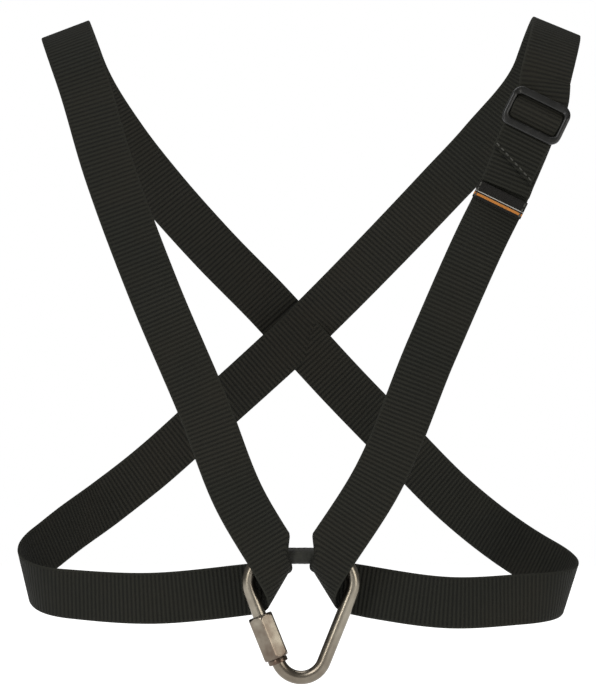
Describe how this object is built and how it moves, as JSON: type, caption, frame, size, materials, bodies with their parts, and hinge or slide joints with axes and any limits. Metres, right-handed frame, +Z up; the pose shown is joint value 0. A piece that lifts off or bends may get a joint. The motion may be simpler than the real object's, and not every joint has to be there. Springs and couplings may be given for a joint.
{
  "type": "climbing chest harness",
  "caption": "Chest harness of flat webbing crossed at the back, with a slide buckle at one shoulder and a screw link at the chest.",
  "frame": {"origin": "midway between the shoulders, at the height of the crests of the shoulder straps", "axes": "+Z up, -Y the way the wearer faces, +X to the wearer's left"},
  "size_m": [0.3287, 0.1714, 0.3867],
  "materials": {
    "black_webbing": "ribbed weave, matt",
    "black_plastic": "satin moulding",
    "black_rubber": "matt",
    "brushed_steel": "zinc plated, polished by use",
    "woven_label": "fine satin weave"
  },
  "bodies": {
    "harness": {"webbing": "black_webbing", "buckle": "black_plastic", "label": "woven_label", "link_body": "brushed_steel", "bar_tube": "black_rubber"},
    "sleeve": {"link_sleeve": "brushed_steel"}
  },
  "joints": [
    {"name": "sleeve_turn", "type": "hinge", "parent": "harness", "child": "sleeve", "pos_m": [-0.01721, -0.072, -0.35309], "axis": [-0.3665, 0, 0.9304], "range_deg": [0, 360]}
  ]
}
